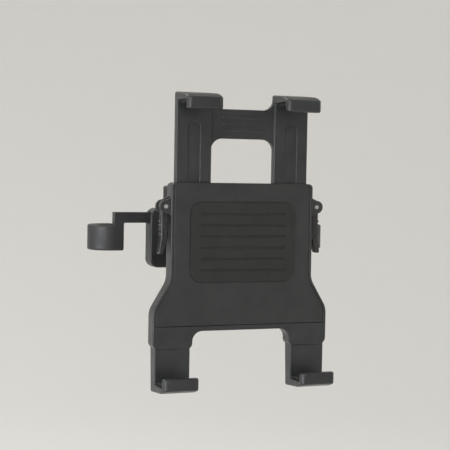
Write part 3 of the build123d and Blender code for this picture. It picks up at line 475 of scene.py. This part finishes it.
# %% [markdown]
# ## Charcoal plastic, three ways
# The claws in the photograph are charcoal plastic with a soft gloss: dark grey on the fronts,
# lighter where a side catches the light. The shells behind them are moulded a touch rougher, as
# large flat covers are, and the knobs and levers a touch smoother, because fingers rub them.

# %% Plastics
claw_plastic = finish(
    "claw_plastic",
    shades=((0.017, 0.018, 0.019), (0.024, 0.025, 0.027)), worn_to=(0.085, 0.086, 0.090),
    film=(0.040, 0.041, 0.043), film_share=0.16, gloss=(0.32, 0.42),
    pebble_rate=3600.0, relief_depth=0.00006, edge_radius=0.0006, wear=0.8, dusty=0.10,
)
shell_plastic = finish(
    "shell_plastic",
    shades=((0.016, 0.016, 0.017), (0.022, 0.022, 0.023)), worn_to=(0.075, 0.076, 0.078),
    film=(0.038, 0.038, 0.039), film_share=0.16, gloss=(0.43, 0.54),
    pebble_rate=2600.0, relief_depth=0.00012, edge_radius=0.0005, wear=0.8, dusty=0.10,
)
grip_plastic = finish(
    "grip_plastic",
    shades=((0.012, 0.012, 0.013), (0.018, 0.018, 0.019)), worn_to=(0.070, 0.070, 0.072),
    film=(0.032, 0.032, 0.033), film_share=0.30, gloss=(0.24, 0.42),
    pebble_rate=4200.0, relief_depth=0.00004, edge_radius=0.0005, wear=1.0, dusty=0.08,
)
print("plastics:", claw_plastic.name, shell_plastic.name, grip_plastic.name)

# %% [markdown]
# ## Rubber
# The liners of the claws and hooks and the pad on the bed are soft rubber. It is darker than
# any plastic here and almost without gloss. With time a grey bloom comes out of it, which the
# film stands for, and its grooves and edges hold more dust than hard plastic does.

# %% Rubber
black_rubber = finish(
    "black_rubber",
    shades=((0.010, 0.010, 0.010), (0.014, 0.014, 0.014)), worn_to=(0.040, 0.039, 0.038),
    film=(0.030, 0.030, 0.029), film_share=0.25, gloss=(0.70, 0.84),
    pebble_rate=1900.0, relief_depth=0.00016, edge_radius=0.0004, wear=0.5, dusty=0.20,
)
print("rubber:", black_rubber.name)

# %% [markdown]
# ## Plated steel and bare nylon
# Screws, pins, nuts and bolts are steel with a thin zinc coat, which shades from bluish to
# warm and dulls where it was handled. The washers, the friction disc and the little gear are
# undyed nylon, cream-coloured and slightly see-through, so a little light is let into it.

# %% Steel and nylon
NYLON_DEPTH_WEIGHT, NYLON_DEPTH = 0.15, 0.001

plated_steel = finish(
    "plated_steel",
    shades=((0.52, 0.53, 0.55), (0.64, 0.62, 0.58)), worn_to=(0.74, 0.73, 0.70),
    film=(0.46, 0.45, 0.42), film_share=0.35, gloss=(0.20, 0.42),
    pebble_rate=5200.0, relief_depth=0.00002, edge_radius=0.0003, wear=0.6, dusty=0.05,
)
shader_inputs(plated_steel)["Metallic"].default_value = 1.0
natural_nylon = finish(
    "natural_nylon",
    shades=((0.60, 0.57, 0.47), (0.69, 0.66, 0.57)), worn_to=(0.76, 0.74, 0.68),
    film=(0.52, 0.49, 0.41), film_share=0.30, gloss=(0.36, 0.52),
    pebble_rate=3000.0, relief_depth=0.00004, edge_radius=0.0003, wear=0.3, dusty=0.10,
)
shader_inputs(natural_nylon)["Subsurface Weight"].default_value = NYLON_DEPTH_WEIGHT
shader_inputs(natural_nylon)["Subsurface Scale"].default_value = NYLON_DEPTH
print("steel and nylon:", plated_steel.name, natural_nylon.name)

# %% [markdown]
# ## Which piece wears which finish
# The CAD solids keep their shape, and only their material slots change. A table from finish to
# pieces is easier to read and to correct than a line for every piece.

# %% Dress the CAD solids
def both(*rows):
    """The names of pieces that come as a left and a right one."""
    return [f"{row}_{hand}" for row in rows for hand in ("left", "right")]


wardrobe = [
    (claw_plastic, ["slider_frame", "cradle_housing"]),
    (shell_plastic, ["cradle_cover", "base_front", "base_back", "tilt_bracket", *both("hook_arm")]),
    (grip_plastic, ["tilt_knob", "arm_lock_knob", *both("lock_lever")]),
    (black_rubber, ["bed_pad",
                    *both("upper_claw_pad", "lower_claw_pad", "hook_liner", "brake_shoe")]),
    (plated_steel, ["cover_screws", "base_screws", "pivot_bolt", "pivot_washer", "pivot_nut",
                    "tilt_bolt", "tilt_nut", "arm_lock_screw", *both("lever_pin")]),
    (natural_nylon, ["friction_disc", "arm_pinion", *both("hinge_washer")]),
]
for material, names in wardrobe:
    for name in names:
        nodes[name].data.materials.clear()
        nodes[name].data.materials.append(material)
dressed = [name for _, names in wardrobe for name in names]
print(len(dressed), "solids dressed; bare:", sorted(set(nodes) - set(dressed)))

# %% [markdown]
# ## Cutting one shape with another
# The fasteners get shapes that are easiest to make by cutting: a driver cross in a screw head,
# or a nut turned out of a hexagon bar. Boolean modifiers do that, and applying them at once
# leaves a plain mesh that can be copied. Where two cut lines almost meet, a Boolean leaves
# slivers without area, so vertices closer than a few thousandths of a millimetre are welded. A
# fastener then rides on its body, stands for its CAD solid and takes the plated steel.

# %% Cut
WELD_DISTANCE = 0.000004


def carve(piece, tools, operation):
    """Cuts piece with the tools, joins them on or keeps what they share; removes the tools."""
    for tool in tools:
        step = piece.modifiers.new("carve", "BOOLEAN")
        step.object, step.operation, step.solver = tool, operation, "EXACT"
    graph = bpy.context.evaluated_depsgraph_get()
    shaped = bpy.data.meshes.new_from_object(piece.evaluated_get(graph))
    piece.modifiers.clear()
    clean = bmesh.new()
    clean.from_mesh(shaped)
    bmesh.ops.remove_doubles(clean, verts=clean.verts, dist=WELD_DISTANCE)
    bmesh.ops.dissolve_degenerate(clean, edges=clean.edges, dist=WELD_DISTANCE)
    clean.to_mesh(shaped)
    clean.free()
    piece.data = shaped
    for tool in tools:
        bpy.data.objects.remove(tool)


print("cuts are welded to", 1000 * WELD_DISTANCE, "mm")


# %% Fasten
def fasten(piece, body, solid, sharp_angle):
    """Shades a steel fastener and puts it in the place of a CAD solid."""
    piece.data.shade_smooth()
    piece.data.set_sharp_from_angle(angle=math.radians(sharp_angle))
    piece.data.materials.clear()
    piece.data.materials.append(plated_steel)
    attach(piece, body)
    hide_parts(solid)
    print(piece.name, len(piece.data.polygons), "faces")


print("fasteners wear", plated_steel.name)

# %% [markdown]
# ## Cross-head screws
# In the CAD a screw is two plain cylinders. The real head is slightly domed and has a tapered
# cross for the driver. The head is a turned shape, and two wedges at right angles cut the
# cross, which is quicker to read than placing forty vertices by hand.

# %% One wing of the driver cross
WING_LENGTH, WING_WIDTH, WING_TAPER = 0.0016, 0.00042, 0.45
WING_RISE, WING_DEPTH = 0.0002, 0.0015
BAR_ENDS = ((0, 1, 2, 3), (7, 6, 5, 4))
BAR_SIDES = ((0, 4, 5, 1), (1, 5, 6, 2), (2, 6, 7, 3), (3, 7, 4, 0))


def wing(name, quarter_turn):
    """A tapered bar for one wing of a driver cross, widest at its top."""
    mesh = bmesh.new()
    corners = []
    for height, share in ((WING_RISE, 1.0), (WING_RISE - WING_DEPTH, WING_TAPER)):
        for u, v in ((-1, -1), (1, -1), (1, 1), (-1, 1)):
            spot = Vector((u * WING_LENGTH * share, height, v * WING_WIDTH * (share + 1) / 2))
            corners.append(mesh.verts.new((spot.z, spot.y, spot.x) if quarter_turn else spot))
    for face in BAR_ENDS + BAR_SIDES:
        mesh.faces.new([corners[i] for i in face])
    bmesh.ops.recalc_face_normals(mesh, faces=mesh.faces)
    return add_piece(name, mesh)


print("a driver cross is", 2000 * WING_LENGTH, "mm across")

# %% One screw
HEAD_RADIUS, HEAD_HEIGHT = 0.00275, 0.0018
CORE_RADIUS, TIP_TAPER = 0.00125, 0.0006
DOME = [(HEAD_RADIUS, -0.00080), (0.00262, -0.00048), (0.0022, -0.00024), (0.0015, -0.00008),
        (0, 0)]
SCREW_STEPS = 40


def cross_head_screw(name, length):
    """A screw along Y whose head ends at y = 0."""
    profile = [(0, -length), (CORE_RADIUS - TIP_TAPER, -length), (CORE_RADIUS, TIP_TAPER - length),
               (CORE_RADIUS, -HEAD_HEIGHT), (HEAD_RADIUS, -HEAD_HEIGHT)] + DOME
    screw = add_piece(name, turned(profile, SCREW_STEPS))
    carve(screw, [wing(f"{name}_wing_{i}", i) for i in range(2)], "DIFFERENCE")
    return screw


print("a screw head is", 2000 * HEAD_RADIUS, "mm across")

# %% [markdown]
# ## Four screws hold the cover, four the base
# Each set is one piece, as in the CAD. The places come from the box round the CAD solid: the
# outer screws touch its sides, and the inner ones are set by the distance from the middle.

# %% A set of screws
SCREW_SHARP_ANGLE = 35


def screw_set(name, solid, body, places):
    """Copies one screw to the given (x, z) places and puts the set in a CAD solid's place."""
    low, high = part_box(solid)
    piece = cross_head_screw(name, high.y - low.y)
    group = bmesh.new()
    for x, z in places:
        before = len(group.verts)
        group.from_mesh(piece.data)
        group.verts.ensure_lookup_table()
        bmesh.ops.translate(group, verts=group.verts[before:], vec=(x, high.y, z))
    group.to_mesh(piece.data)
    group.free()
    fasten(piece, body, solid, SCREW_SHARP_ANGLE)


print("edges over", SCREW_SHARP_ANGLE, "degrees stay sharp on screws")

# %% Both sets
INNER_COVER_SCREW, INNER_BASE_SCREW = 0.011, 0.022

rim = Vector((HEAD_RADIUS, 0, HEAD_RADIUS))
low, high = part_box("cover_screws")
low, high = low + rim, high - rim
cover_places = [(x, high.z) for x in (-INNER_COVER_SCREW, INNER_COVER_SCREW)]
cover_places += [(x, low.z) for x in (low.x, high.x)]
screw_set("cover_cross_screws", "cover_screws", "cradle", cover_places)
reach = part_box("base_screws")[1].x - HEAD_RADIUS
screw_set("base_cross_screws", "base_screws", "base",
          [(x, 0.0) for x in (-reach, -INNER_BASE_SCREW, INNER_BASE_SCREW, reach)])

# %% [markdown]
# ## Hexagons with turned corners
# A nut or a bolt head is cut from hexagon bar, and its corners are turned off at an angle in a
# lathe. That is exactly what a Boolean intersection of a hexagon prism and a turned body gives,
# with the curved line on each flat that makes a nut look like a nut.

# %% Hexagon bar
FLATS = 0.010
CORNERS = FLATS / math.cos(math.radians(30))


def hexagon_bar(name, low, high):
    """A plain hexagon bar along Y."""
    bar = bmesh.new()
    angles = [math.tau * i / 6 for i in range(6)]
    spots = [(CORNERS / 2 * math.cos(a), -CORNERS / 2 * math.sin(a)) for a in angles]
    start, end = ([bar.verts.new((x, height, z)) for x, z in spots] for height in (low, high))
    bar.faces.new(start[::-1])
    bar.faces.new(end)
    for i in range(6):
        bar.faces.new([start[i], start[(i + 1) % 6], end[(i + 1) % 6], end[i]])
    bmesh.ops.recalc_face_normals(bar, faces=bar.faces)
    return add_piece(name, bar)


print("a hexagon is", round(1000 * CORNERS, 2), "mm over its corners")

# %% Turned hexagon
FACE_SHARE = 0.96
TURN_ANGLE = math.radians(30)
LATHE_ROOM = 1.05
LATHE_STEPS = 72


def hexagon(name, low, high, both_ends):
    """A hexagon bar along Y, its corners turned off at the far end or at both."""
    face_radius, outer = FACE_SHARE * FLATS / 2, LATHE_ROOM * CORNERS / 2
    drop = (outer - face_radius) * math.tan(TURN_ANGLE)
    near_end = [(face_radius, low), (outer, low + drop)] if both_ends else [(outer, low)]
    far_end = [(outer, high - drop), (face_radius, high)]
    piece = hexagon_bar(name, low, high)
    lathe = turned([(0, low), *near_end, *far_end, (0, high)], LATHE_STEPS)
    carve(piece, [add_piece(f"{name}_lathe", lathe)], "INTERSECT")
    return piece


print("a hexagon's face is", round(1000 * FACE_SHARE * FLATS, 2), "mm across")

# %% [markdown]
# ## The turntable's nut and the hinge's bolt
# The nut holds the cradle on its turntable and is turned off at both faces, with a bore for the
# bolt. The hinge bolt lies across the head: its hexagon sits in one ear, and its shank, with a
# tapered end, carries the knob on the other side. It is made along Y and turned to lie along X.

# %% Nut
BOLT_RADIUS, BOLT_STEPS = 0.003, 48
SPARE = 0.001
HEXAGON_SHARP_ANGLE = 20

low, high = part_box("pivot_nut")
pivot_nut = hexagon("pivot_hex_nut", low.y, high.y, True)
bore_low, bore_high = low.y - SPARE, high.y + SPARE
bore = [(0, bore_low), (BOLT_RADIUS, bore_low), (BOLT_RADIUS, bore_high), (0, bore_high)]
carve(pivot_nut, [add_piece("nut_bore", turned(bore, BOLT_STEPS))], "DIFFERENCE")
fasten(pivot_nut, "cradle", "pivot_nut", HEXAGON_SHARP_ANGLE)

# %% Bolt
BOLT_HEAD, BOLT_TAPER = 0.004, 0.0006

low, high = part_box("tilt_bolt")
tilt_bolt = hexagon("tilt_hex_bolt", -low.x - BOLT_HEAD, -low.x, False)
inside_head = -low.x - BOLT_HEAD / 2
shank = [(0, -high.x), (BOLT_RADIUS - BOLT_TAPER, -high.x), (BOLT_RADIUS, BOLT_TAPER - high.x),
         (BOLT_RADIUS, inside_head), (0, inside_head)]
carve(tilt_bolt, [add_piece("bolt_shank", turned(shank, BOLT_STEPS))], "UNION")
middle = (low + high) / 2
lie_across = Matrix.Rotation(math.radians(90), 4, "Z")
tilt_bolt.data.transform(Matrix.Translation((0, middle.y, middle.z)) @ lie_across)
fasten(tilt_bolt, "base", "tilt_bolt", HEXAGON_SHARP_ANGLE)
